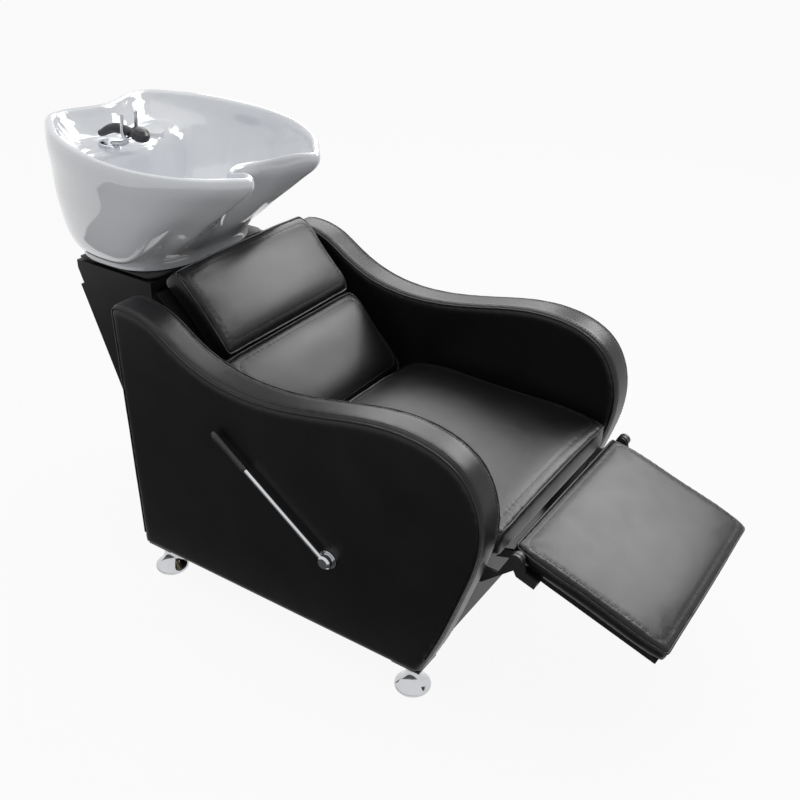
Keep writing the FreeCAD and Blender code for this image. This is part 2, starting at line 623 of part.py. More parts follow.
top_low = S.pedestal_top_z - S.pedestal_wall
side_outline = polygon([
    (S.rear_rail_y + S.rail_side, S.leg_height), (S.pedestal_rear_foot_y, S.leg_height),
    (S.pedestal_rear_top_y, top_low), (S.pedestal_front_y, top_low),
    (S.pedestal_front_y, S.pedestal_shoulder_z), (S.rear_rail_y + S.rail_side, S.pedestal_knee_z)])
pedestal_right = padded("pedestal_right_panel", "YZ_Plane", side_outline, "pedestal_wall")
bind(pedestal_right, _at_x="-pedestal_half_width")
node(pedestal_right, "pedestal_right_panel")
node(mirrored("pedestal_left_panel", pedestal_right), "pedestal_left_panel")

lid_low = "pedestal_top_z - pedestal_wall"
top_blank = box("pedestal_top_blank", ("-pedestal_half_width", "pedestal_front_y", lid_low),
                ("2 * pedestal_half_width", "pedestal_rear_top_y - pedestal_front_y", "pedestal_wall"))
drain_slot = box("drain_slot", ("-drain_slot_half_width", "pedestal_front_y", lid_low),
                 ("2 * drain_slot_half_width", "drain_slot_rear_y - pedestal_front_y", "pedestal_wall"))
node(cut("pedestal_top", top_blank, drain_slot), "pedestal_top")

rear_rise = math.degrees(math.atan2(top_low - S.leg_height, S.pedestal_rear_top_y - S.pedestal_rear_foot_y))
access_place = Placement(Vector(0, S.pedestal_rear_foot_y, S.leg_height), Rotation(X_AXIS, rear_rise))
access = new("Part::Box", "rear_access_panel")
bind(access, Length="2 * pedestal_half_width", Width="access_length", Height="access_thickness")
access.Placement = access_place.multiply(
    Placement(Vector(-S.pedestal_half_width, S.access_margin, -S.access_thickness), Rotation()))
node(access, "rear_access_panel")
outward = access_place.Rotation.multVec(Vector(0, 0, -1))
access_screws = []
for sign in SIDES.values():
    for share in (0.06, 0.5, 0.94):
        spot = Vector(sign * (S.pedestal_half_width - S.pedestal_wall / 2),
                      S.access_margin + share * S.access_length, -S.access_thickness)
        access_screws.append(rod(f"access_screw_{sign}_{int(share * 100)}", access_place.multVec(spot),
                                 "access_screw_radius", "access_screw_height", outward))
node(group("access_screw_set", *access_screws), "access_panel_screws")


# Basin: one glazed skin from the drain seat up the inside, over the rim and down to the foot

bowl_place = Placement(Vector(0, S.bowl_rear_y, S.bowl_rear_z), Rotation(X_AXIS, S.bowl_tilt))
cradle_low = S.pedestal_top_z + S.bumper_height + S.seat_gap
gasket_low = cradle_low + S.cradle_thickness
foot_level = gasket_low + S.gasket_thickness
tilt_sine = math.sin(math.radians(S.bowl_tilt))
tilt_cosine = math.cos(math.radians(S.bowl_tilt))

# Share of the way from the rim to the drain, and share of the depth, at the rear, corner and sides.
INNER_REAR = [(0.10, 0.13), (0.22, 0.215), (0.55, 0.225), (0.67, 0.26), (0.715, 0.39), (0.765, 0.66),
              (0.85, 0.91), (0.93, 0.98), (1, 1)]
INNER_CORNER = [(0.10, 0.13), (0.19, 0.20), (0.26, 0.28), (0.33, 0.38), (0.42, 0.54), (0.54, 0.71),
                (0.73, 0.89), (0.88, 0.975), (1, 1)]
INNER_SIDE = [(0.08, 0.13), (0.17, 0.27), (0.27, 0.41), (0.38, 0.55), (0.50, 0.68), (0.63, 0.80),
              (0.78, 0.91), (0.90, 0.975), (1, 1)]
# Share of the height below the rim and of the way in to the foot, at the rear, the horns and the notch.
OUTER_REAR = [(0.20, 0.03), (0.42, 0.11), (0.64, 0.26), (0.84, 0.52), (0.93, 0.86), (1, 1)]
OUTER_HORN = [(0.16, 0.14), (0.34, 0.36), (0.52, 0.58), (0.68, 0.76), (0.82, 0.92), (1, 1)]
OUTER_FRONT = [(0.16, 0.08), (0.34, 0.24), (0.52, 0.44), (0.68, 0.66), (0.82, 0.90), (1, 1)]
# Inward step and height of the rolled rim, as shares of its width and half height.
RIM_ROLL = [(0, -1), (0.15, -0.28), (0.48, 0), (0.82, -0.4), (1, -1.3)]


def plan(x, forward):
    return Vector(x, -forward, 0)


def rim_half():
    """Plan of half the rim, from the rear dip round the side and the horn to the neck notch."""
    points = []
    for step in range(4):
        x = S.hump_offset * step / 3
        points.append(plan(x, S.rear_dip / 2 * (1 + math.cos(math.pi * step / 3))))
    rear_axis = S.bowl_wide_at * 1.168
    for turn in (33, 42, 52, 64, 77, 90):
        angle = math.radians(turn)
        points.append(plan(S.bowl_half_width * math.sin(angle), S.bowl_wide_at - rear_axis * math.cos(angle)))
    front_axis = (S.bowl_length - S.bowl_wide_at) * 1.09
    for turn in (14, 27, 39, 50, 59):
        angle = math.radians(turn)
        points.append(plan(S.bowl_half_width * math.cos(angle), S.bowl_wide_at + front_axis * math.sin(angle)))
    for outward, back in ((14, 5), (0, 0), (-12, 6), (-20, 19)):
        points.append(plan(S.horn_offset + outward, S.bowl_length - back))
    throat = plan(S.notch_half_width, S.notch_reach + 31)
    points.append((points[-1] + throat) * 0.5)
    points.append(throat)
    points.append(plan(S.notch_half_width * 0.7, S.notch_reach + 12))
    points.append(plan(S.notch_half_width * 0.35, S.notch_reach + 3))
    points.append(plan(0, S.notch_reach))
    return points


RIM = rim_half()
lengths = [0]
for first, second in zip(RIM, RIM[1:]):
    lengths.append(lengths[-1] + (second - first).Length)
TURNS = [math.pi * length / lengths[-1] for length in lengths]
RING_PARAMETERS = TURNS + [2 * math.pi - turn for turn in TURNS[-2::-1]]
HORN_INDEX = len(RIM) - 9


def smooth(value):
    value = min(max(value, 0), 1)
    return value * value * (3 - 2 * value)


def notch_level(index):
    """Height of the rim above its plane: lower only through the neck notch."""
    if index <= HORN_INDEX:
        return 0
    reach = -RIM[index].y
    return -S.notch_dip * smooth((S.bowl_length - reach) / (S.bowl_length - S.notch_reach))


def dish_point(turn):
    """A line inside the dish that the walls bend round."""
    reach = S.dish_rear if turn < math.pi / 2 else S.dish_front
    return plan(S.dish_half_width * math.sin(turn), S.dish_middle - reach * math.cos(turn))


def drain_point(turn):
    return plan(S.drain_seat_radius * math.sin(turn), S.drain_at - S.drain_seat_radius * math.cos(turn))


def foot_point(turn):
    """Outer edge of the foot, a rounded oblong."""
    squared = lambda part: math.copysign(abs(part) ** 0.75, part)
    return plan(S.foot_half_width * squared(math.sin(turn)),
                S.foot_centre - S.foot_half_length * squared(math.cos(turn)))


def blend_profile(first, second, share):
    return [(mix(a, c, share), mix(b, d, share)) for (a, b), (c, d) in zip(first, second)]


def inner_profile(turn):
    corner = math.radians(42)
    if turn < corner:
        return blend_profile(INNER_REAR, INNER_CORNER, (turn / corner) ** 1.8)
    return blend_profile(INNER_CORNER, INNER_SIDE, smooth((turn - corner) / math.radians(33)))


def rim_column(index):
    """Rolled rim at one point of the outline, from the inside out."""
    start = RIM[index]
    inward = (dish_point(TURNS[index]) - start).normalize()
    level = notch_level(index)
    column = [start + inward * (share * S.rim_width) + Z_AXIS * (level + height * S.rim_half_height)
              for share, height in RIM_ROLL]
    return column[::-1]


def inner_column(index, grow=0.0):
    """Inner wall from the drain seat up to the rim, set back into the ceramic by grow."""
    turn = TURNS[index]
    start = rim_column(index)[0]
    bend = dish_point(turn)
    end = drain_point(turn)
    column = []
    for share, depth in inner_profile(turn):
        spot = start * (1 - share) ** 2 + bend * (2 * share * (1 - share)) + end * share ** 2
        out = (RIM[index] - end).normalize()
        height = mix(start.z, -S.bowl_depth, depth) - grow
        column.append(Vector(spot.x + out.x * grow, spot.y + out.y * grow, height))
    return column[::-1]


def outer_column(index):
    """Outer wall from below the rim down to the level foot."""
    turn = TURNS[index]
    start = RIM[index]
    end = foot_point(turn)
    top = notch_level(index) - S.rim_half_height * 2
    foot_z = (foot_level - S.bowl_rear_z - end.y * tilt_sine) / tilt_cosine
    horn = smooth((turn - math.radians(95)) / math.radians(40))
    notch = smooth((turn - math.radians(150)) / math.radians(28))
    profile = blend_profile(blend_profile(OUTER_REAR, OUTER_HORN, horn), OUTER_FRONT, notch)
    column = []
    for down, share in profile:
        spot = start + (end - start) * share
        column.append(Vector(spot.x, spot.y, mix(top, foot_z, down)))
    return column


def rings_from(columns):
    """Closed rings through matching points of the half columns and their mirror images."""
    rings = []
    for level in range(len(columns[0])):
        half = [column[level] for column in columns]
        other = [Vector(-point.x, point.y, point.z) for point in half[-2:0:-1]]
        rings.append(ring_wire(half + other, RING_PARAMETERS))
    return rings


def oval(level, half_width, middle, half_length, exponent):
    """A level oblong ring in the basin's frame."""
    points = []
    for step in range(32):
        turn = 2 * math.pi * step / 32
        across = math.copysign(abs(math.sin(turn)) ** exponent, math.sin(turn))
        along = math.copysign(abs(math.cos(turn)) ** exponent, math.cos(turn))
        points.append(plan(half_width * across, middle - half_length * along) + Z_AXIS * level)
    return ring_wire(points)


def basin():
    """Glazed basin with a hollow underside, tap holes and a drain hole, in its own frame."""
    order = range(len(RIM))
    skin = Part.makeLoft(rings_from([inner_column(i) + rim_column(i) + outer_column(i) for i in order]), True)
    lump_columns = [inner_column(i, S.bowl_wall) for i in order]
    lid = [Vector(column[-1].x, column[-1].y, 5) for column in lump_columns]
    lump = Part.makeLoft(rings_from([column + [top] for column, top in zip(lump_columns, lid)]), True)
    below = -S.bowl_depth - S.hollow_reach
    inner_half = S.foot_half_width - S.bowl_wall
    inner_length = S.foot_half_length - S.bowl_wall
    hollow_low = oval(below, inner_half, S.foot_centre, inner_length, 0.75)
    hollow_step = oval(-S.bowl_depth - 18, inner_half, S.foot_centre, inner_length, 0.75)
    hollow_high = oval(-58, S.bowl_half_width - 30, S.foot_centre - 8, S.foot_half_length + 12, 0.9)
    hollow = Part.makeLoft([hollow_low, hollow_step, hollow_high], True, True).cut(lump)
    shell = skin.cut(hollow)
    for sign in SIDES.values():
        spot = plan(sign * S.tap_offset, S.tap_at)
        boss_low = S.tap_boss_level - S.bowl_wall - 5
        boss = Part.makeCylinder(S.tap_boss_radius, S.tap_boss_level - boss_low, spot + Z_AXIS * boss_low)
        hole_low = spot + Z_AXIS * (boss_low - S.hole_reach / 3)
        hole = Part.makeCylinder(S.tap_hole_radius, S.hole_reach, hole_low)
        nut_low = spot + Z_AXIS * (boss_low - S.hole_reach)
        nut_room = Part.makeCylinder(S.tap_hole_radius + 5, S.hole_reach, nut_low)
        shell = shell.fuse(boss).cut(hole).cut(nut_room)
    drain_low = plan(0, S.drain_at) - Z_AXIS * (S.bowl_depth + S.hole_reach * 0.7)
    return shell.cut(Part.makeCylinder(S.drain_hole_radius, S.hole_reach, drain_low))


node(feature("bowl", basin(), bowl_place), "bowl")


# Drain fittings, in the basin's frame

drain_place = bowl_place.multiply(Placement(plan(0, S.drain_at) - Z_AXIS * S.bowl_depth, Rotation()))


def turned(name, points, place):
    body = revolved(name + "_turned", points)
    body.Placement = place
    return node(body, name)


neck_radius = S.drain_hole_radius - S.seat_gap
ledge = S.flange_height
relief_radius = S.tail_radius - S.relief_depth
tail_inner = S.tail_radius - S.tail_wall
tail_low = -S.neck_depth - S.tail_length
shoulder_low = -S.neck_depth - 8
turned("drain_flange", [
    (S.flange_radius, 0), (S.flange_radius - 3, ledge), (neck_radius - S.neck_wall, ledge),
    (neck_radius - S.neck_wall, 8 - S.neck_depth), (tail_inner, shoulder_low + 2), (tail_inner, tail_low),
    (S.tail_radius, tail_low), (S.tail_radius, shoulder_low - S.relief_length),
    (relief_radius, shoulder_low - S.relief_length), (relief_radius, shoulder_low),
    (neck_radius, 6 - S.neck_depth), (neck_radius, 0)], drain_place)
gasket_top = -S.bowl_wall
nut_top = gasket_top - S.gasket_thickness
nut_low = nut_top - S.nut_height
nut_bore = neck_radius + S.seat_gap
turned("drain_gasket", [
    (nut_bore, gasket_top), (S.nut_radius, gasket_top), (S.nut_radius, nut_top), (nut_bore, nut_top)],
    drain_place)
turned("drain_nut", [
    (nut_bore, nut_top), (S.nut_radius, nut_top), (S.nut_radius, nut_low + 3), (S.nut_radius - 3, nut_low),
    (nut_bore, nut_low)], drain_place)


def strainer():
    """Lift-out hair catcher: a shallow dished plate with rings of holes and a centre knob."""
    radius = S.strainer_radius
    floor = 4 - S.neck_depth / 2
    outline = [(0, floor), (radius * 0.7, floor - 2), (radius, -2), (radius, ledge), (radius + 5, ledge),
               (radius + 5, ledge + 1.5), (radius - 1, ledge + 1.5), (radius * 0.68, floor), (6, floor + 2),
               (5, 0), (8, 4), (6, 8), (0, 9)]
    wire = Part.makePolygon([Vector(a, 0, b) for a, b in outline + outline[:1]])
    dish = Part.Face(wire).revolve(Vector(), Z_AXIS, 360)
    for count, reach in ((6, 12), (12, 19)):
        for step in range(count):
            angle = 2 * math.pi * step / count
            spot = Vector(reach * math.cos(angle), reach * math.sin(angle), -S.neck_depth)
            dish = dish.cut(Part.makeCylinder(2.2, S.neck_depth, spot))
    return dish


node(feature("drain_strainer", strainer(), drain_place), "drain_strainer")


# Cradle, gasket and tilt hinge under the basin

tilt_z = cradle_low - S.tilt_axis_drop
tilt_centre = Vector(0, S.tilt_axis_y, tilt_z)


def cradle():
    """Steel plate under the foot, slotted for the drain, with the hinge's middle knuckle at its rear."""
    rear = S.tilt_axis_y
    plate = Part.makeBox(2 * S.cradle_half_width, rear - S.cradle_front_y, S.cradle_thickness,
                         Vector(-S.cradle_half_width, S.cradle_front_y, cradle_low))
    slot_half = S.nut_radius + 16
    slot = Part.makeBox(2 * slot_half, S.drain_slot_rear_y - S.cradle_front_y, S.cradle_thickness,
                        Vector(-slot_half, S.cradle_front_y, cradle_low))
    corners = [edge for edge in plate.Edges if edge.BoundBox.ZLength > S.cradle_thickness / 2]
    plate = plate.makeFillet(24, corners).cut(slot)
    relief_length = S.cradle_half_width - S.knuckle_half_length
    start = tilt_centre - X_AXIS * S.knuckle_half_length
    knuckle = Part.makeCylinder(S.knuckle_radius, 2 * S.knuckle_half_length, start, X_AXIS)
    web = Part.makeBox(2 * S.knuckle_half_length, S.knuckle_radius, cradle_low + S.cradle_thickness - tilt_z,
                       start - Vector(0, S.knuckle_radius, 0))
    bore = Part.makeCylinder(S.tilt_pin_radius + S.running_gap, 2 * S.knuckle_half_length, start, X_AXIS)
    for sign in SIDES.values():
        low_x = S.knuckle_half_length if sign > 0 else -S.cradle_half_width
        relief = Part.makeBox(relief_length, 2 * S.knuckle_radius + 4, S.cradle_thickness,
                              Vector(low_x, rear - 2 - 2 * S.knuckle_radius, cradle_low))
        plate = plate.cut(relief)
    return plate.fuse(web).fuse(knuckle).cut(bore).removeSplitter()


def gasket():
    """Soft strip between the foot and the cradle."""
    foot = Part.Face(foot_wire(0)).cut(Part.Face(foot_wire(S.bowl_wall)))
    strip = foot.extrude(Z_AXIS * S.gasket_thickness)
    limit = Part.makeBox(2 * S.cradle_half_width - 4, S.tilt_axis_y - S.cradle_front_y - 40, 50,
                         Vector(2 - S.cradle_half_width, S.cradle_front_y + 16, gasket_low - 10))
    return strip.common(limit)


def foot_wire(inset):
    """Foot outline on the gasket's lower face, in the station's frame."""
    points = []
    for step in range(48):
        turn = 2 * math.pi * step / 48
        edge = foot_point(turn)
        middle = plan(0, S.foot_centre)
        inward = (middle - edge).normalize() * inset
        level = (gasket_low - S.bowl_rear_z - edge.y * tilt_sine) / tilt_cosine
        spot = bowl_place.multVec(Vector(edge.x + inward.x, edge.y + inward.y, level))
        points.append(Vector(spot.x, spot.y, gasket_low))
    return ring_wire(points)


node(feature("bowl_cradle", cradle()), "bowl_cradle")
node(feature("bowl_gasket", gasket()), "bowl_gasket")

bumpers = []
for sign in SIDES.values():
    for share in (0.2, 0.8):
        y = mix(S.cradle_front_y, S.tilt_axis_y - 30, share)
        spot = Vector(sign * (S.cradle_half_width - 20), y, S.pedestal_top_z)
        bumpers.append(rod(f"bumper_{sign}_{int(share * 10)}", spot, "10", "bumper_height"))
node(group("bumper_set", *bumpers), "bowl_bumpers")


def tilt_bracket():
    """Fixed leaf on the pedestal's rear edge with a knuckle at each end of the cradle's."""
    low = S.pedestal_top_z - S.bracket_height
    leaf = Part.makeBox(2 * S.bracket_half_length, S.bracket_thickness, S.bracket_height - 14,
                        Vector(-S.bracket_half_length, S.pedestal_rear_top_y, low))
    knuckle_length = S.bracket_half_length - S.knuckle_half_length - S.seat_gap
    for sign in SIDES.values():
        start_x = S.knuckle_half_length + S.seat_gap if sign > 0 else -S.bracket_half_length
        start = Vector(start_x, S.tilt_axis_y, tilt_z)
        web = Part.makeBox(knuckle_length, S.tilt_axis_y - S.pedestal_rear_top_y, tilt_z - low,
                           Vector(start_x, S.pedestal_rear_top_y, low))
        knuckle = Part.makeCylinder(S.knuckle_radius, knuckle_length, start, X_AXIS)
        bore = Part.makeCylinder(S.tilt_pin_radius, knuckle_length, start, X_AXIS)
        leaf = leaf.fuse(web).fuse(knuckle).cut(bore)
    return leaf.removeSplitter()


node(feature("tilt_bracket", tilt_bracket()), "tilt_bracket")
node(rod("tilt_pin", tilt_centre - X_AXIS * S.bracket_half_length, "tilt_pin_radius",
         "2 * bracket_half_length", X_AXIS), "tilt_pin")


# Hand shower in a fork over the right tap hole, and a cap on the left one

def tap_place(sign):
    spot = plan(sign * S.tap_offset, S.tap_at) + Z_AXIS * S.tap_boss_level
    return bowl_place.multiply(Placement(spot, Rotation()))


shank_radius = S.tap_hole_radius - S.seat_gap


def lock_nut(low):
    return Part.makeCylinder(S.tap_hole_radius + 3, 8, Vector(0, 0, low))


def tap_stem(radius, height):
    """Base disc on the ledge with a shank through the hole and a nut below."""
    depth = S.bowl_wall + 5
    disc = Part.makeCylinder(radius, height)
    disc = disc.makeFillet(height * 0.4, [edge for edge in disc.Edges if edge.BoundBox.ZMin > height / 2])
    shank = Part.makeCylinder(shank_radius, depth + 22, Vector(0, 0, -depth - 22))
    return disc.fuse(shank).fuse(lock_nut(-depth - 8))


def sweep_tube(points, radius):
    """A round bar along straight runs joined by arcs, from hand-picked points."""
    edges = []
    start = points[0]
    for before, corner, after in zip(points, points[1:], points[2:]):
        back = (before - corner).normalize()
        ahead = (after - corner).normalize()
        bend = min((before - corner).Length, (after - corner).Length) * 0.45
        first = corner + back * bend
        last = corner + ahead * bend
        half = math.acos(max(-1, min(1, back.dot(ahead)))) / 2
        bisector = (back + ahead).normalize()
        arc_radius = bend * math.tan(half)
        middle = corner + bisector * (bend / math.cos(half) - arc_radius)
        edges.append(Part.LineSegment(start, first).toShape())
        edges.append(Part.Arc(first, middle, last).toShape())
        start = last
    edges.append(Part.LineSegment(start, points[-1]).toShape())
    path = Part.Wire(edges)
    way = (points[1] - points[0]).normalize()
    circle = Part.Wire(Part.makeCircle(radius, points[0], way))
    return path.makePipeShell([circle], True, True)


saddle = Vector(0, -S.saddle_forward, S.saddle_height)


def handset_fork():
    """Stem from the tap hole leaning forward to a fork that carries the hand shower."""
    reach = S.fork_inner_radius + S.fork_bar_radius
    root = Vector(0, saddle.y * 0.1, saddle.z * 0.08)
    knee = Vector(0, saddle.y * 0.7, saddle.z * 0.28)
    stem = sweep_tube([root, knee, saddle - Z_AXIS * reach], S.fork_stem_radius * 0.75)
    rise = Z_AXIS * S.fork_prong
    right_low = saddle - X_AXIS * reach
    left_low = saddle + X_AXIS * reach
    path = Part.Wire([
        Part.LineSegment(right_low + rise, right_low).toShape(),
        Part.Arc(right_low, saddle - Z_AXIS * reach, left_low).toShape(),
        Part.LineSegment(left_low, left_low + rise).toShape()])
    circle = Part.Wire(Part.makeCircle(S.fork_bar_radius, right_low + rise, Z_AXIS))
    prongs = path.makePipeShell([circle], True, True)
    return tap_stem(S.fork_base_radius, S.fork_base_height).fuse(stem).fuse(prongs)


def handset():
    """Arched hand shower: a tapered handle lying in the fork and a spray head facing down."""
    neck = S.handset_radius - 1
    lift = neck + S.saddle_gap - S.fork_inner_radius
    stations = [(0.8, -0.24, neck - 3), (0.56, -0.1, neck), (0.31, -0.01, S.handset_radius), (0, 0, neck),
                (-0.2, 0.07, S.handset_radius)]
    spots = [saddle + Vector(0, along, up) * S.handle_length + Z_AXIS * lift for along, up, radius in stations]
    circles = []
    for index, station in enumerate(stations):
        before = spots[max(index - 1, 0)]
        after = spots[min(index + 1, len(spots) - 1)]
        circles.append(Part.Wire(Part.makeCircle(station[2], spots[index], (after - before).normalize())))
    handle = Part.makeLoft(circles, True)
    face = Rotation(X_AXIS, 14)
    radius = S.head_radius
    face_low = 5 - S.head_height
    outline = [(0, 9), (radius * 0.55, 8), (radius * 0.9, 1), (radius, -5), (radius, face_low + 3),
               (radius - 3, face_low), (0, face_low)]
    wire = Part.makePolygon([Vector(a, 0, b) for a, b in outline + outline[:1]])
    head = Part.Face(wire).revolve(Vector(), Z_AXIS, 360)
    head.Placement = Placement(spots[-1] - Vector(0, S.head_radius * 0.6, 0), face)
    return handle.fuse(head)


node(feature("handset_fork", handset_fork(), tap_place(-1)), "handset_fork")
node(feature("handset", handset(), tap_place(-1)), "handset")
node(feature("tap_hole_cap", tap_stem(S.cap_radius, S.cap_height), tap_place(1)), "tap_hole_cap")


# Mixing valve on the left side panel, with two threaded inlets facing down

valve_x = S.pedestal_half_width - S.pedestal_wall - S.valve_radius
valve_body = rod("valve_body", Vector(valve_x, S.valve_y - S.valve_length / 2, S.valve_z), "valve_radius",
                 "valve_length", Vector(0, 1, 0))
valve_pieces = [valve_body]
collar_low = S.valve_z - S.valve_radius - S.inlet_collar_height
for sign in SIDES.values():
    spot = Vector(valve_x, S.valve_y + sign * S.inlet_spacing / 2, collar_low)
    neck_spot = spot - Z_AXIS * S.relief_length
    valve_pieces.append(rod(f"inlet_collar_{sign}", spot, "inlet_collar_radius",
                            "inlet_collar_height + valve_radius"))
    valve_pieces.append(rod(f"inlet_neck_{sign}", neck_spot, "inlet_radius - relief_depth", "relief_length"))
    end_spot = neck_spot - Z_AXIS * S.inlet_length
    valve_pieces.append(rod(f"inlet_{sign}", end_spot, "inlet_radius", "inlet_length"))
outlet = rod("valve_outlet", Vector(valve_x, S.valve_y, S.valve_z), "inlet_radius",
             "inlet_length + valve_radius")
node(fuse("mixing_valve", *valve_pieces, outlet), "mixing_valve")


# Check every object, then write each sub-part

doc.recompute()
for item in doc.Objects:
    if "Invalid" in item.State or "Error" in item.State:
        raise RuntimeError(f"{item.Label} failed to build")
for name, item in NODES.items():
    if item.Shape.isNull() or not item.Shape.isValid() or not item.Shape.Solids:
        raise RuntimeError(f"{name} has no valid solid")
os.makedirs("parts", exist_ok=True)
for name, item in NODES.items():
    item.Shape.exportStep(f"parts/{name}.step")
print(f"{len(NODES)} sub-parts written")
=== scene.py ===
import json
import math

import bpy
import numpy as np
from mathutils import Matrix, Quaternion, Vector
from mathutils.bvhtree import BVHTree
from mathutils.kdtree import KDTree

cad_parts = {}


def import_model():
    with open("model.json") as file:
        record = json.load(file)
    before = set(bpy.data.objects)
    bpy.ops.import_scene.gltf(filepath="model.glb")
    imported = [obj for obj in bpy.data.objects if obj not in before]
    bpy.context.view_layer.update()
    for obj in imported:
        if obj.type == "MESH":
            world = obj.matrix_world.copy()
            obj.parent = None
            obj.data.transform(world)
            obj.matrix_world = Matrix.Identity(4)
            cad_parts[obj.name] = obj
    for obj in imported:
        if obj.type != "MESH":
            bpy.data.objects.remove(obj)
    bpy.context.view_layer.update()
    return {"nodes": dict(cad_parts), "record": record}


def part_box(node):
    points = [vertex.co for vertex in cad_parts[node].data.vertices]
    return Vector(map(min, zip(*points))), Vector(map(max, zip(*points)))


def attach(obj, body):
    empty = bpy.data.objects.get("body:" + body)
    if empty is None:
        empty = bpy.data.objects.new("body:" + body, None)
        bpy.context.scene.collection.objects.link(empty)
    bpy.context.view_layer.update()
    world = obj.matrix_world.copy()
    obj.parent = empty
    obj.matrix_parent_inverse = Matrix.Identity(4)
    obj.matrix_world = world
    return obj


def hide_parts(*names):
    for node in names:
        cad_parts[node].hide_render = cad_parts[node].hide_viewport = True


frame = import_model()
NODES = frame["nodes"]
SCENE = bpy.context.scene
SCENE.view_settings.view_transform = "Standard"


# Small helpers

def link(obj):
    SCENE.collection.objects.link(obj)
    return obj


def evaluated_mesh(obj):
    """The object's mesh with its modifiers applied."""
    graph = bpy.context.evaluated_depsgraph_get()
    return bpy.data.meshes.new_from_object(obj.evaluated_get(graph))


def bake(obj):
    """Apply every modifier on the object."""
    mesh = evaluated_mesh(obj)
    obj.modifiers.clear()
    obj.data = mesh
    return obj


def points_of(mesh):
    flat = np.zeros(len(mesh.vertices) * 3, np.float32)
    mesh.vertices.foreach_get("co", flat)
    return flat.reshape(-1, 3).astype(float)


def set_points(mesh, points):
    mesh.vertices.foreach_set("co", points.astype(np.float32).ravel())
    mesh.update()


def shade_smooth(obj):
    for face in obj.data.polygons:
        face.use_smooth = True


# Materials

class Paint:
    """A node material being put together round one shader."""

    def __init__(self, name):
        self.material = bpy.data.materials.new(name)
        self.material.use_nodes = True
        self.tree = self.material.node_tree
        self.shader = self.tree.nodes["Principled BSDF"]
        self.place = self.node("ShaderNodeTexCoord").outputs["Object"]

    def node(self, kind, **values):
        made = self.tree.nodes.new(kind)
        for name, value in values.items():
            setattr(made, name, value)
        return made

    def set(self, **values):
        for name, value in values.items():
            self.shader.inputs[name.replace("_", " ")].default_value = value
        return self

    def join(self, out, socket):
        self.tree.links.new(out, socket)

    def noise(self, scale, detail=3.0, stretch=None):
        made = self.node("ShaderNodeTexNoise")
        made.inputs["Scale"].default_value = scale
        made.inputs["Detail"].default_value = detail
        place = self.place
        if stretch is not None:
            mapping = self.node("ShaderNodeMapping")
            mapping.inputs["Scale"].default_value = stretch
            self.join(self.place, mapping.inputs["Vector"])
            place = mapping.outputs["Vector"]
        self.join(place, made.inputs["Vector"])
        return made.outputs["Fac"]

    def cells(self, scale):
        made = self.node("ShaderNodeTexVoronoi", feature="DISTANCE_TO_EDGE")
        made.inputs["Scale"].default_value = scale
        self.join(self.place, made.inputs["Vector"])
        return made.outputs["Distance"]

    def ramp(self, value, stops):
        made = self.node("ShaderNodeValToRGB")
        for index, (spot, colour) in enumerate(stops):
            entries = made.color_ramp.elements
            entry = entries[index] if index < 2 else entries.new(spot)
            entry.position = spot
            entry.color = (*colour, 1)
        self.join(value, made.inputs["Fac"])
        return made.outputs["Color"]

    def span(self, value, low, high):
        made = self.node("ShaderNodeMapRange")
        made.inputs["To Min"].default_value = low
        made.inputs["To Max"].default_value = high
        self.join(value, made.inputs["Value"])
        return made.outputs["Result"]

    def colour(self, value, stops):
        self.join(self.ramp(value, stops), self.shader.inputs["Base Color"])
        return self

    def roughness(self, value, low, high):
        self.join(self.span(value, low, high), self.shader.inputs["Roughness"])
        return self

    def bump(self, *layers):
        """Stack bump layers of (height, strength, distance)."""
        normal = None
        for height, strength, distance in layers:
            made = self.node("ShaderNodeBump")
            made.inputs["Strength"].default_value = strength
            made.inputs["Distance"].default_value = distance
            self.join(height, made.inputs["Height"])
            if normal is not None:
                self.join(normal, made.inputs["Normal"])
            normal = made.outputs["Normal"]
        self.join(normal, self.shader.inputs["Normal"])
        return self


def leatherette():
    """Black coated fabric: a pebbled grain, soft creases and a patchy satin gloss."""
    paint = Paint("black_leatherette")
    paint.colour(paint.noise(9, 4), [(0.3, (0.005, 0.005, 0.006)), (0.75, (0.009, 0.009, 0.010))])
    paint.roughness(paint.noise(22, 5), 0.29, 0.38)
    creases = (paint.noise(26, 3), 0.22, 0.0012)
    pebbles = (paint.cells(620), 0.30, 0.00035)
    pores = (paint.noise(1900, 2), 0.2, 0.0001)
    paint.bump(creases, pebbles, pores)
    paint.set(Specular_IOR_Level=0.3)
    return paint.material


def ceramic():
    """White glaze: a faintly uneven body under a clear coat."""
    paint = Paint("white_glaze")
    paint.colour(paint.noise(5, 3), [(0.3, (0.79, 0.81, 0.85)), (0.7, (0.83, 0.85, 0.88))])
    paint.roughness(paint.noise(30, 3), 0.07, 0.13)
    paint.bump((paint.noise(55, 2), 0.08, 0.0008))
    paint.set(Coat_Weight=1.0, Coat_Roughness=0.03, Coat_IOR=1.5)
    return paint.material


def metal(name, colour, rough, brushed=None):
    """Plated metal with a faint cloud in its colour and gloss."""
    paint = Paint(name)
    dim = tuple(part * 0.93 for part in colour)
    paint.colour(paint.noise(40, 3), [(0.3, dim), (0.7, colour)])
    paint.roughness(paint.noise(120, 4, brushed), *rough)
    paint.bump((paint.noise(300, 3, brushed), 0.04, 0.0002))
    paint.set(Metallic=1.0)
    return paint.material


def coated(name, dark, light, rough, grain):
    """Powder coat, plastic and rubber: a fine grain over a plain colour."""
    paint = Paint(name)
    paint.colour(paint.noise(30, 3), [(0.3, dark), (0.7, light)])
    paint.roughness(paint.noise(80, 3), *rough)
    paint.bump((paint.noise(grain, 2), 0.15, 0.0002))
    return paint.material


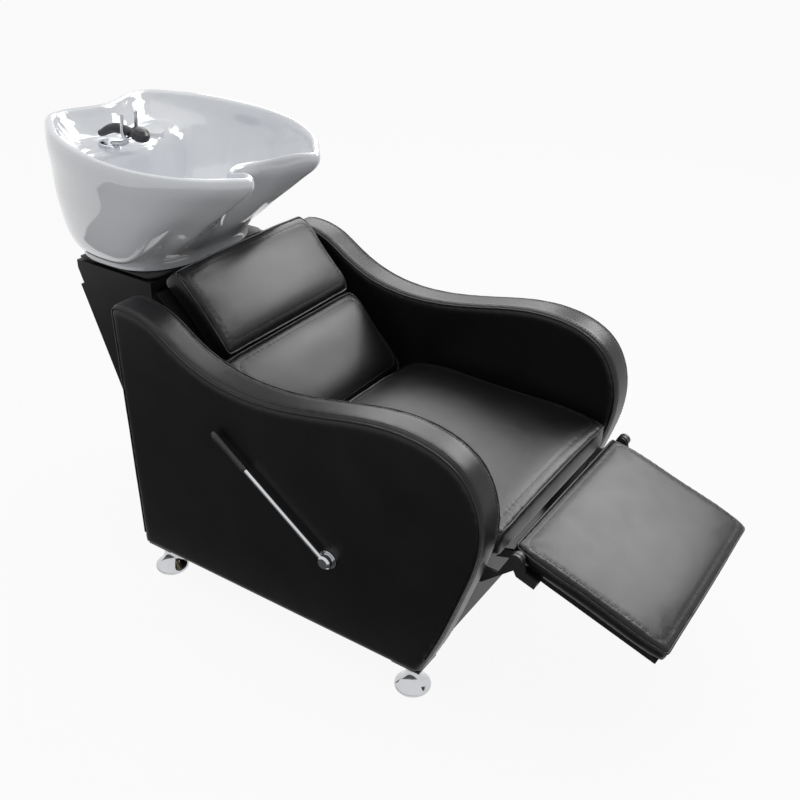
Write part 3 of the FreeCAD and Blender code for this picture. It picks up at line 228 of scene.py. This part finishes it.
def plywood():
    paint = Paint("plywood")
    grain = paint.noise(7, 6, (9, 1, 26))
    stops = [(0.25, (0.42, 0.29, 0.17)), (0.5, (0.60, 0.45, 0.28)), (0.8, (0.70, 0.56, 0.38))]
    paint.colour(grain, stops)
    paint.roughness(grain, 0.55, 0.75)
    paint.bump((grain, 0.3, 0.0006))
    return paint.material


BLACK = leatherette()
THREAD = coated("black_thread", (0.020, 0.020, 0.022), (0.034, 0.034, 0.037), (0.5, 0.6), 2500)
FINISHES = {
    "leatherette": BLACK,
    "plywood": plywood(),
    "black_steel": coated("black_powder_coat", (0.014, 0.014, 0.015), (0.022, 0.022, 0.023),
                          (0.38, 0.5), 900),
    "chrome": metal("polished_chrome", (0.61, 0.62, 0.64), (0.05, 0.14)),
    "rubber": coated("black_rubber", (0.012, 0.012, 0.012), (0.02, 0.02, 0.02), (0.7, 0.85), 500),
    "ceramic": ceramic(),
    "black_plastic": coated("black_plastic", (0.012, 0.012, 0.014), (0.018, 0.018, 0.021),
                            (0.25, 0.38), 700),
    "nylon": coated("white_nylon", (0.74, 0.75, 0.77), (0.79, 0.80, 0.82), (0.3, 0.42), 400),
    "brass": metal("satin_brass", (0.72, 0.56, 0.30), (0.25, 0.4)),
}


def paint_with(obj, material):
    obj.data.materials.clear()
    obj.data.materials.append(material)


for row in frame["record"]["subparts"]:
    paint_with(NODES[row["node"]], FINISHES[row["material_slot"]])


# Soft pieces

SEAT_FRAME = Matrix.Identity(4)
BACK_FRAME = Matrix.Translation((0, 0.2139, 0.472)) @ Matrix.Rotation(math.radians(47.5), 4, "X")
REST_FRAME = Matrix.Translation((0, -0.463, 0.375)) @ Matrix.Rotation(math.radians(18.3), 4, "X")


def calmed(mesh, moved, turns=12):
    """Share each point's move with its neighbours, so that only broad creases stay."""
    ends = np.zeros(len(mesh.edges) * 2, np.int32)
    mesh.edges.foreach_get("vertices", ends)
    ends = ends.reshape(-1, 2)
    count = np.bincount(ends.ravel(), minlength=len(moved))[:, None]
    for _ in range(turns):
        total = np.zeros_like(moved)
        np.add.at(total, ends[:, 0], moved[ends[:, 1]])
        np.add.at(total, ends[:, 1], moved[ends[:, 0]])
        moved = (moved + total / count) / 2
    return moved


def swell(obj, pinned, cap, frames=20):
    """Blow a closed mesh up with Cloth and hold every point within cap of where it was."""
    start = points_of(obj.data)
    group = obj.vertex_groups.new(name="held")
    group.add([int(index) for index in np.nonzero(pinned)[0]], 1.0, "REPLACE")
    cloth = obj.modifiers.new("cloth", "CLOTH")
    rules = cloth.settings
    rules.quality = 5
    rules.mass = 0.25
    rules.tension_stiffness = 40
    rules.compression_stiffness = 40
    rules.shear_stiffness = 20
    rules.bending_stiffness = 8
    rules.use_pressure = True
    rules.uniform_pressure_force = 4
    rules.effector_weights.gravity = 0
    rules.vertex_group_mass = "held"
    for step in range(1, frames + 1):
        SCENE.frame_set(step)
    bake(obj)
    SCENE.frame_set(1)
    moved = points_of(obj.data) - start
    length = np.linalg.norm(moved, axis=1, keepdims=True)
    moved *= np.minimum(1, cap / np.maximum(length, 1e-9))
    set_points(obj.data, start + calmed(obj.data, moved))


def soft_copy(node, name, voxel):
    """A remeshed copy of a node."""
    obj = link(bpy.data.objects.new(name, NODES[node].data.copy()))
    remesh = obj.modifiers.new("remesh", "REMESH")
    remesh.mode = "VOXEL"
    remesh.voxel_size = voxel
    return bake(obj)


def tree_of(obj):
    return BVHTree.FromObject(obj, bpy.context.evaluated_depsgraph_get())


def finish_soft(obj, node, body):
    shade_smooth(obj)
    paint_with(obj, BLACK)
    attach(obj, body)
    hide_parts(node)


def relax(obj, turns, levels):
    """Smooth a piece, divide it and apply both."""
    smooth = obj.modifiers.new("smooth", "SMOOTH")
    smooth.iterations = turns
    if levels:
        divide = obj.modifiers.new("divide", "SUBSURF")
        divide.levels = levels
        divide.render_levels = levels
    bake(obj)


def along(line):
    """Distance from a line's start at each of its points."""
    points = np.array(line)
    step = np.linalg.norm(np.diff(points, axis=0), axis=1)
    return np.concatenate([[0], np.cumsum(step)])


def pucker(obj, line, depth, reach, pitch):
    """Draw the surface in along a sewn line, deeper and shallower from stitch to stitch."""
    distance = along(line)
    tree = KDTree(len(line))
    for index, point in enumerate(line):
        tree.insert(point, index)
    tree.balance()
    points = points_of(obj.data)
    normals = np.zeros(len(obj.data.vertices) * 3, np.float32)
    obj.data.vertices.foreach_get("normal", normals)
    normals = normals.reshape(-1, 3)
    for index, point in enumerate(points):
        _, near, gap = tree.find(point)
        if gap < 3 * reach:
            turn = 2 * math.pi * distance[near] / pitch
            wave = 0.65 + 0.35 * math.sin(turn + 1.7 * math.sin(turn / 3.7))
            points[index] -= normals[index] * depth * wave * math.exp(-(gap / reach) ** 2)
    set_points(obj.data, points)


def piping(name, points, radius, body, closed=False):
    """A round cord of leatherette sewn into a seam."""
    curve = bpy.data.curves.new(name, "CURVE")
    curve.dimensions = "3D"
    curve.bevel_depth = radius
    curve.bevel_resolution = 2
    spline = curve.splines.new("NURBS")
    spline.points.add(len(points) - 1)
    for slot, point in zip(spline.points, points):
        slot.co = (*point, 1)
    spline.order_u = 3
    spline.use_cyclic_u = closed
    spline.use_endpoint_u = not closed
    curve.materials.append(BLACK)
    obj = link(bpy.data.objects.new(name, curve))
    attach(obj, body)


STITCH_RINGS = ((-0.5, 0.35), (-0.3, 1.0), (0.3, 1.0), (0.5, 0.35))
STITCH_SIDES = 6


def stitches(name, line, body, length=0.0048, pitch=0.0072, radius=0.0006):
    """A row of single stitches along a line of (spot, normal) pairs."""
    spots = np.array([spot for spot, normal in line])
    normals = np.array([normal for spot, normal in line])
    distance = along(spots)
    count = int(distance[-1] / pitch)
    marks = (np.arange(count) + 0.5) * pitch
    place = np.stack([np.interp(marks, distance, spots[:, axis]) for axis in range(3)], 1)
    ahead = np.stack([np.interp(marks + 0.001, distance, spots[:, axis]) for axis in range(3)], 1)
    up = np.stack([np.interp(marks, distance, normals[:, axis]) for axis in range(3)], 1)
    up /= np.linalg.norm(up, axis=1, keepdims=True)
    way = ahead - place
    way /= np.maximum(np.linalg.norm(way, axis=1, keepdims=True), 1e-9)
    across = np.cross(way, up)
    points = []
    faces = []
    for spot, tangent, normal, side in zip(place + up * radius * 0.3, way, up, across):
        start = len(points)
        for shift, swelling in STITCH_RINGS:
            for step in range(STITCH_SIDES):
                angle = 2 * math.pi * step / STITCH_SIDES
                rim = normal * math.cos(angle) + side * math.sin(angle)
                points.append(spot + tangent * shift * length + rim * radius * swelling)
        for ring in range(len(STITCH_RINGS) - 1):
            for step in range(STITCH_SIDES):
                here = start + ring * STITCH_SIDES + step
                beside = start + ring * STITCH_SIDES + (step + 1) % STITCH_SIDES
                faces.append((here, beside, beside + STITCH_SIDES, here + STITCH_SIDES))
        faces.append(tuple(range(start, start + STITCH_SIDES)))
        last = start + (len(STITCH_RINGS) - 1) * STITCH_SIDES
        faces.append(tuple(range(last, last + STITCH_SIDES)))
    mesh = bpy.data.meshes.new(name)
    mesh.from_pydata([tuple(point) for point in points], [], faces)
    obj = link(bpy.data.objects.new(name, mesh))
    shade_smooth(obj)
    paint_with(obj, THREAD)
    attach(obj, body)


def edge_ring(low, high, level, corner, steps):
    """A level rounded oblong in a pad's own frame."""
    points = []
    middle = [(high.x - corner, high.y - corner, 0), (low.x + corner, high.y - corner, 90),
              (low.x + corner, low.y + corner, 180), (high.x - corner, low.y + corner, 270)]
    for index, (x, y, turn) in enumerate(middle):
        for part in range(7):
            angle = math.radians(turn + 15 * part)
            points.append(Vector((x + corner * math.cos(angle), y + corner * math.sin(angle), level)))
        ahead = middle[(index + 1) % 4]
        angle = math.radians(turn + 90)
        start = points[-1]
        end = Vector((ahead[0] + corner * math.cos(angle), ahead[1] + corner * math.sin(angle), level))
        for part in range(1, steps):
            points.append(start.lerp(end, part / steps))
    return points


def local_points(obj, place):
    away = np.array(place.inverted())
    return points_of(obj.data) @ away[:3, :3].T + away[:3, 3]


def local_box(obj, place):
    local = local_points(obj, place)
    return Vector(local.min(0)), Vector(local.max(0))


def seam_ring(obj, place, share):
    """The line round a pad's side at a share of its thickness, as (spot, normal) pairs."""
    low, high = local_box(obj, place)
    level = low.z + (high.z - low.z) * share
    grow = Vector((0.02, 0.02, 0))
    surface = tree_of(obj)
    line = []
    for point in edge_ring(low - grow, high + grow, level, corner=0.035, steps=40):
        spot, normal, _, _ = surface.find_nearest(place @ point)
        line.append((spot, normal))
    return line


def top_ring(obj, place, inset):
    """The line of the top stitching, inset from a pad's edge, found from above."""
    low, high = local_box(obj, place)
    shrink = Vector((inset, inset, 0))
    down = place.to_3x3() @ Vector((0, 0, -1))
    surface = tree_of(obj)
    line = []
    for point in edge_ring(low + shrink, high - shrink, high.z + 0.03, corner=0.02, steps=60):
        spot, normal, _, _ = surface.ray_cast(place @ point, down)
        if spot is not None:
            line.append((spot, normal))
    return line


FREE_DEPTH = 0.012


def cushion(node, body, place, cap, seam_share, inset):
    """A swollen, sewn cushion in place of a node, flat only where it lies on its board."""
    obj = soft_copy(node, node + "_cover", voxel=0.005)
    height = local_points(obj, place)[:, 2]
    swell(obj, height < height.max() - FREE_DEPTH, cap)
    relax(obj, turns=5, levels=1)
    seam = seam_ring(obj, place, seam_share)
    pucker(obj, [spot for spot, normal in seam], depth=0.0012, reach=0.007, pitch=0.021)
    top = top_ring(obj, place, inset)
    pucker(obj, [spot for spot, normal in top], depth=0.0006, reach=0.005, pitch=0.016)
    stitched = top_ring(obj, place, inset)
    raised = [spot + normal * 0.0004 for spot, normal in seam]
    piping(node + "_piping", raised, 0.0024, body, closed=True)
    stitches(node + "_stitching", stitched + stitched[:1], body)
    finish_soft(obj, node, body)


cushion("seat_cushion", "station", SEAT_FRAME, cap=0.005, seam_share=0.80, inset=0.020)
cushion("back_cushion_lower", "station", BACK_FRAME, cap=0.004, seam_share=0.84, inset=0.018)
cushion("back_cushion_upper", "station", BACK_FRAME, cap=0.004, seam_share=0.84, inset=0.018)
cushion("leg_rest_pad", "leg_rest", REST_FRAME, cap=0.0008, seam_share=0.84, inset=0.016)


# Arms: a fitted cover with a sewn seam along both edges of its top band

ARM_MIDDLE = 0.287
ARM_HEART = (0.0, 0.36)
ARM_SEAM = 0.0342
ARM_STITCH = 0.0235
EDGES = (("outer", 1), ("inner", -1))


def arm_line(surface, x, turns):
    """Where rays from the heart of the arm, in the plane at x, leave the cover."""
    heart = Vector((x, *ARM_HEART))
    line = []
    for turn in turns:
        ray = Vector((0, -math.cos(turn), math.sin(turn)))
        spot, normal, _, _ = surface.ray_cast(heart, ray)
        if spot is not None:
            line.append((spot, normal))
    return line


def arm_cover(side, sign):
    """The cover of one arm, drawn in along its two seams, with piping and a row of stitches at each."""
    obj = soft_copy(f"arm_{side}_pad", f"arm_{side}_cover", voxel=0.006)
    relax(obj, turns=5, levels=0)
    turns = np.radians(np.linspace(-36, 212, 420))
    surface = tree_of(obj)
    seams = {}
    for edge, way in EDGES:
        seams[edge] = arm_line(surface, sign * (ARM_MIDDLE + way * ARM_SEAM), turns)
    for seam in seams.values():
        pucker(obj, [spot for spot, normal in seam], depth=0.0014, reach=0.008, pitch=0.023)
    surface = tree_of(obj)
    for edge, way in EDGES:
        row = arm_line(surface, sign * (ARM_MIDDLE + way * ARM_STITCH), turns)
        stitches(f"arm_{side}_{edge}_stitching", row, "station")
        raised = [spot + normal * 0.0003 for spot, normal in seams[edge]]
        piping(f"arm_{side}_{edge}_piping", raised, 0.0021, "station")
    finish_soft(obj, f"arm_{side}_pad", "station")


arm_cover("right", -1)
arm_cover("left", 1)


# Feet: turned bells with a smooth waist

BELL = [(0, 5), (33.5, 5), (35.6, 5.6), (36.8, 7.4), (37, 10), (36.4, 12.6), (34, 15.4), (30, 19),
        (25.6, 23.6), (21.6, 29), (18.2, 35.4), (16, 42), (15.1, 48), (15.4, 53.4), (16.8, 58.6),
        (19, 63.4), (21, 67.2), (21.9, 70), (22, 73), (21.6, 75.4), (20.8, 76), (0, 76)]
MILLIMETRES = 1000


def bell(node, x, y):
    """A foot turned from the bell's outline of (radius, height) in millimetres."""
    steps = 72
    points = []
    faces = []
    for radius, height in BELL:
        reach = radius / MILLIMETRES
        for step in range(steps):
            angle = 2 * math.pi * step / steps
            points.append((x + reach * math.cos(angle), y + reach * math.sin(angle), height / MILLIMETRES))
    for ring in range(len(BELL) - 1):
        for step in range(steps):
            here = ring * steps + step
            beside = ring * steps + (step + 1) % steps
            faces.append((here, beside, beside + steps, here + steps))
    mesh = bpy.data.meshes.new(node + "_bell")
    mesh.from_pydata(points, [], faces)
    obj = link(bpy.data.objects.new(node + "_bell", mesh))
    weld = obj.modifiers.new("weld", "WELD")
    weld.merge_threshold = 0.0001
    bake(obj)
    shade_smooth(obj)
    paint_with(obj, FINISHES["chrome"])
    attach(obj, "station")
    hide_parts(node)


for foot in ("foot_front_right", "foot_front_left", "foot_rear_right", "foot_rear_left"):
    foot_low, foot_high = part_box(foot)
    bell(foot, (foot_low.x + foot_high.x) / 2, (foot_low.y + foot_high.y) / 2)


# Stage, light and camera

FLOOR_SHINE = 0.92
WORLD_LIGHT = 0.42


def shown_rays(tree):
    """One for a camera, glossy or transmission ray, all of which see the plain white background."""
    path = tree.nodes.new("ShaderNodeLightPath")
    shown = path.outputs["Is Camera Ray"]
    for kind in ("Is Glossy Ray", "Is Transmission Ray"):
        larger = tree.nodes.new("ShaderNodeMath")
        larger.operation = "MAXIMUM"
        tree.links.new(shown, larger.inputs[0])
        tree.links.new(path.outputs[kind], larger.inputs[1])
        shown = larger.outputs[0]
    return shown


def floor_material():
    """A pale floor that looks white and still keeps a share of the object's shadow."""
    paint = Paint("pale_floor")
    paint.colour(paint.noise(3, 2), [(0.3, (0.84, 0.84, 0.84)), (0.7, (0.86, 0.86, 0.86))])
    paint.set(Roughness=0.8, Specular_IOR_Level=0.1)
    light = paint.node("ShaderNodeEmission")
    mixer = paint.node("ShaderNodeMixShader")
    share = paint.node("ShaderNodeMath", operation="MULTIPLY")
    share.inputs[1].default_value = FLOOR_SHINE
    paint.join(shown_rays(paint.tree), share.inputs[0])
    paint.join(share.outputs[0], mixer.inputs["Fac"])
    paint.join(paint.shader.outputs["BSDF"], mixer.inputs[1])
    paint.join(light.outputs["Emission"], mixer.inputs[2])
    paint.join(mixer.outputs["Shader"], paint.tree.nodes["Material Output"].inputs["Surface"])
    return paint.material


def level_sheet(name, low, high, height, material):
    """A flat rectangle of the stage from corner low to corner high."""
    mesh = bpy.data.meshes.new(name)
    corners = [(low[0], low[1], 0), (high[0], low[1], 0), (high[0], high[1], 0), (low[0], high[1], 0)]
    mesh.from_pydata(corners, [], [(0, 1, 2, 3)])
    obj = link(bpy.data.objects.new(name, mesh))
    obj.location.z = height
    paint_with(obj, material)
    return obj


def floor():
    level_sheet("floor", (-30, -30), (30, 30), -0.0005, floor_material())


def dark_card():
    """A card lying beside the chair that only reflections show, so that black stays deep."""
    material = coated("dark_card", (0.15, 0.15, 0.15), (0.17, 0.17, 0.17), (0.8, 0.9), 300)
    obj = level_sheet("dark_card", (-2.1, -1.0), (-0.37, 1.8), 0.002, material)
    obj.visible_camera = False
    obj.visible_diffuse = False
    obj.visible_transmission = False
    obj.visible_shadow = False


def world():
    """Even white light, weaker on the object than the white that the camera sees."""
    made = bpy.data.worlds.new("studio")
    SCENE.world = made
    made.use_nodes = True
    tree = made.node_tree
    back = tree.nodes["Background"]
    back.inputs["Color"].default_value = (1, 1, 1, 1)
    strength = tree.nodes.new("ShaderNodeMapRange")
    strength.inputs["To Min"].default_value = WORLD_LIGHT
    strength.inputs["To Max"].default_value = 1.0
    tree.links.new(shown_rays(tree), strength.inputs["Value"])
    tree.links.new(strength.outputs["Result"], back.inputs["Strength"])


def softbox(name, place, aim, size, watts):
    """A rectangular lamp turned to a point."""
    lamp = bpy.data.lights.new(name, "AREA")
    lamp.shape = "RECTANGLE"
    lamp.size, lamp.size_y = size
    lamp.energy = watts
    obj = link(bpy.data.objects.new(name, lamp))
    obj.location = place
    obj.rotation_mode = "QUATERNION"
    obj.rotation_quaternion = (Vector(aim) - Vector(place)).to_track_quat("-Z", "Y")
    return obj


FILL_SHARE = 0.24


def bank(name, place, size, watts):
    """A wide reflector that glossy leather shows, with a weak fill so that the basin does not clip."""
    aim = (0, 0, 0.5)
    softbox(name + "_shine", place, aim, size, watts).visible_diffuse = False
    softbox(name + "_fill", place, aim, size, watts * FILL_SHARE).visible_glossy = False


PHOTO_FOCAL = 240.6
PHOTO_CENTRE = Vector((207.0, 210.2))
AIM_PIXEL = Vector((212.0, 212.0))
AZIMUTH = math.radians(-56.2)
ELEVATION = math.radians(29.6)
ROLL = math.radians(1.6)
LOOK_AT = Vector((0, 0, 0.4515))
DISTANCE = 2.189
ENLARGED = 4.3
FRAME_PIXELS = 800
SENSOR = 36


def camera():
    """The photograph's viewpoint, with the view of the whole station enlarged to fill the frame."""
    level = math.cos(ELEVATION)
    back = Vector((math.sin(AZIMUTH) * level, -math.cos(AZIMUTH) * level, math.sin(ELEVATION)))
    ahead = -back
    right = ahead.cross(Vector((0, 0, 1))).normalized()
    up = right.cross(ahead)
    offset = (AIM_PIXEL - PHOTO_CENTRE) / PHOTO_FOCAL
    aim = ahead + right * offset.x - up * offset.y
    data = bpy.data.cameras.new("camera")
    data.sensor_width = SENSOR
    data.lens = PHOTO_FOCAL * ENLARGED * SENSOR / FRAME_PIXELS
    obj = link(bpy.data.objects.new("camera", data))
    obj.location = LOOK_AT + back * DISTANCE
    obj.rotation_mode = "QUATERNION"
    obj.rotation_quaternion = aim.to_track_quat("-Z", "Y") @ Quaternion((0, 0, 1), ROLL)
    SCENE.camera = obj


floor()
dark_card()
world()
softbox("top_softbox", (-0.2, 0.3, 3.2), (0, 0, 0.4), (3.2, 3.2), 24)
bank("front_bank", (1.97, -0.9, 2.25), (1.5, 1.3), 62)
bank("middle_bank", (1.6, 0.3, 2.6), (1.3, 1.1), 20)
bank("rear_bank", (2.05, 1.25, 1.95), (1.6, 1.2), 24)
camera()
